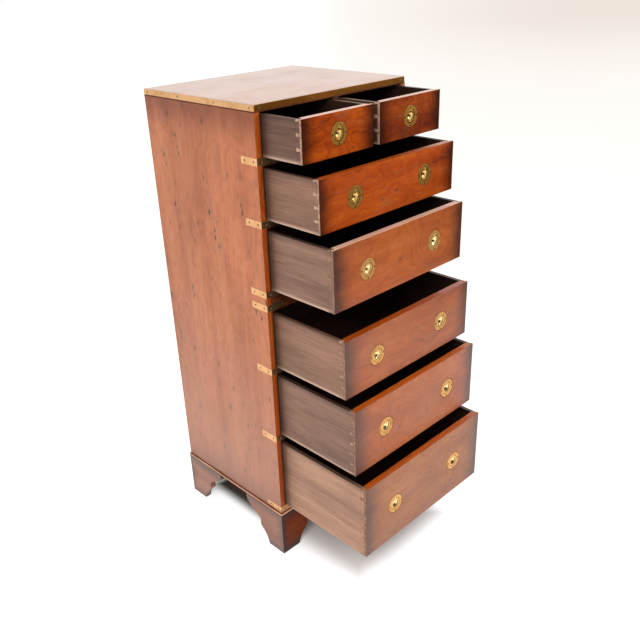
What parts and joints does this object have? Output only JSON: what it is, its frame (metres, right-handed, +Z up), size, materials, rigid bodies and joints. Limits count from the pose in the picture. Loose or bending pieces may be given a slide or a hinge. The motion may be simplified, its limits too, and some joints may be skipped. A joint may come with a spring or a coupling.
{
  "type": "campaign chest",
  "caption": "Tall narrow campaign chest: short drawers over graduated long drawers, brass-bound corners, flush ring pulls and bracket feet.",
  "frame": {"origin": "on the floor, under the middle of the chest with its drawers open as stored", "axes": "+Z up, -Y is the way the drawers open, +X is to the right seen from the front"},
  "size_m": [0.468, 0.649, 1.118],
  "materials": {
    "yew": "polished",
    "side_yew": "polished",
    "base_yew": "polished",
    "drawer_yew": "polished",
    "back_ply": "plain",
    "brass": "satin",
    "ring_brass": "polished"
  },
  "bodies": {
    "case": {"side_panel_left": "side_yew", "foot_front_left": "base_yew", "foot_rear_left": "base_yew", "strap_1_left": "brass", "strap_2_left": "brass", "strap_3_left": "brass", "strap_4_left": "brass", "strap_5_left": "brass", "strap_6_left": "brass", "strap_7_left": "brass", "side_panel_right": "side_yew", "foot_front_right": "base_yew", "foot_rear_right": "base_yew", "strap_1_right": "brass", "strap_2_right": "brass", "strap_3_right": "brass", "strap_4_right": "brass", "strap_5_right": "brass", "strap_6_right": "brass", "strap_7_right": "brass", "back_panel": "back_ply", "top_board": "yew", "top_edging": "brass", "base_board": "base_yew", "shelf_1": "yew", "shelf_2": "yew", "shelf_3": "yew", "shelf_4": "yew", "shelf_5": "yew"},
    "drawer_1_left": {"drawer_1_left": "drawer_yew", "drawer_1_left_pull_plate": "brass"},
    "drawer_1_right": {"drawer_1_right": "drawer_yew", "drawer_1_right_pull_plate": "brass"},
    "drawer_2": {"drawer_2": "drawer_yew", "drawer_2_pull_plate_left": "brass", "drawer_2_pull_plate_right": "brass"},
    "drawer_3": {"drawer_3": "drawer_yew", "drawer_3_pull_plate_left": "brass", "drawer_3_pull_plate_right": "brass"},
    "drawer_4": {"drawer_4": "drawer_yew", "drawer_4_pull_plate_left": "brass", "drawer_4_pull_plate_right": "brass"},
    "drawer_5": {"drawer_5": "drawer_yew", "drawer_5_pull_plate_left": "brass", "drawer_5_pull_plate_right": "brass"},
    "drawer_6": {"drawer_6": "drawer_yew", "drawer_6_pull_plate_left": "brass", "drawer_6_pull_plate_right": "brass"},
    "drawer_1_left_pull_ring": {"drawer_1_left_pull_ring": "ring_brass"},
    "drawer_1_right_pull_ring": {"drawer_1_right_pull_ring": "ring_brass"},
    "drawer_2_pull_ring_left": {"drawer_2_pull_ring_left": "ring_brass"},
    "drawer_2_pull_ring_right": {"drawer_2_pull_ring_right": "ring_brass"},
    "drawer_3_pull_ring_left": {"drawer_3_pull_ring_left": "ring_brass"},
    "drawer_3_pull_ring_right": {"drawer_3_pull_ring_right": "ring_brass"},
    "drawer_4_pull_ring_left": {"drawer_4_pull_ring_left": "ring_brass"},
    "drawer_4_pull_ring_right": {"drawer_4_pull_ring_right": "ring_brass"},
    "drawer_5_pull_ring_left": {"drawer_5_pull_ring_left": "ring_brass"},
    "drawer_5_pull_ring_right": {"drawer_5_pull_ring_right": "ring_brass"},
    "drawer_6_pull_ring_left": {"drawer_6_pull_ring_left": "ring_brass"},
    "drawer_6_pull_ring_right": {"drawer_6_pull_ring_right": "ring_brass"}
  },
  "joints": [
    {"name": "drawer_1_left_slide", "type": "slide", "parent": "case", "child": "drawer_1_left", "axis": [0, -1, 0], "range_m": [-0.114, 0.186]},
    {"name": "drawer_1_right_slide", "type": "slide", "parent": "case", "child": "drawer_1_right", "axis": [0, -1, 0], "range_m": [-0.114, 0.186]},
    {"name": "drawer_2_slide", "type": "slide", "parent": "case", "child": "drawer_2", "axis": [0, -1, 0], "range_m": [-0.1555, 0.1445]},
    {"name": "drawer_3_slide", "type": "slide", "parent": "case", "child": "drawer_3", "axis": [0, -1, 0], "range_m": [-0.188, 0.112]},
    {"name": "drawer_4_slide", "type": "slide", "parent": "case", "child": "drawer_4", "axis": [0, -1, 0], "range_m": [-0.2135, 0.0865]},
    {"name": "drawer_5_slide", "type": "slide", "parent": "case", "child": "drawer_5", "axis": [0, -1, 0], "range_m": [-0.239, 0.061]},
    {"name": "drawer_6_slide", "type": "slide", "parent": "case", "child": "drawer_6", "axis": [0, -1, 0], "range_m": [-0.268, 0.032]},
    {"name": "drawer_1_left_ring_hinge", "type": "hinge", "parent": "drawer_1_left", "child": "drawer_1_left_pull_ring", "pos_m": [-0.11025, -0.1691, 1.0734], "axis": [-1, 0, 0], "range_deg": [0, 90]},
    {"name": "drawer_1_right_ring_hinge", "type": "hinge", "parent": "drawer_1_right", "child": "drawer_1_right_pull_ring", "pos_m": [0.11025, -0.1691, 1.0734], "axis": [-1, 0, 0], "range_deg": [0, 90]},
    {"name": "drawer_2_ring_hinge_left", "type": "hinge", "parent": "drawer_2", "child": "drawer_2_pull_ring_left", "pos_m": [-0.11025, -0.2106, 0.95415], "axis": [-1, 0, 0], "range_deg": [0, 90]},
    {"name": "drawer_2_ring_hinge_right", "type": "hinge", "parent": "drawer_2", "child": "drawer_2_pull_ring_right", "pos_m": [0.11025, -0.2106, 0.95415], "axis": [-1, 0, 0], "range_deg": [0, 90]},
    {"name": "drawer_3_ring_hinge_left", "type": "hinge", "parent": "drawer_3", "child": "drawer_3_pull_ring_left", "pos_m": [-0.11025, -0.2431, 0.80915], "axis": [-1, 0, 0], "range_deg": [0, 90]},
    {"name": "drawer_3_ring_hinge_right", "type": "hinge", "parent": "drawer_3", "child": "drawer_3_pull_ring_right", "pos_m": [0.11025, -0.2431, 0.80915], "axis": [-1, 0, 0], "range_deg": [0, 90]},
    {"name": "drawer_4_ring_hinge_left", "type": "hinge", "parent": "drawer_4", "child": "drawer_4_pull_ring_left", "pos_m": [-0.11025, -0.2686, 0.61915], "axis": [-1, 0, 0], "range_deg": [0, 90]},
    {"name": "drawer_4_ring_hinge_right", "type": "hinge", "parent": "drawer_4", "child": "drawer_4_pull_ring_right", "pos_m": [0.11025, -0.2686, 0.61915], "axis": [-1, 0, 0], "range_deg": [0, 90]},
    {"name": "drawer_5_ring_hinge_left", "type": "hinge", "parent": "drawer_5", "child": "drawer_5_pull_ring_left", "pos_m": [-0.11025, -0.2941, 0.4499], "axis": [-1, 0, 0], "range_deg": [0, 90]},
    {"name": "drawer_5_ring_hinge_right", "type": "hinge", "parent": "drawer_5", "child": "drawer_5_pull_ring_right", "pos_m": [0.11025, -0.2941, 0.4499], "axis": [-1, 0, 0], "range_deg": [0, 90]},
    {"name": "drawer_6_ring_hinge_left", "type": "hinge", "parent": "drawer_6", "child": "drawer_6_pull_ring_left", "pos_m": [-0.11025, -0.3231, 0.2524], "axis": [-1, 0, 0], "range_deg": [0, 90]},
    {"name": "drawer_6_ring_hinge_right", "type": "hinge", "parent": "drawer_6", "child": "drawer_6_pull_ring_right", "pos_m": [0.11025, -0.3231, 0.2524], "axis": [-1, 0, 0], "range_deg": [0, 90]}
  ]
}
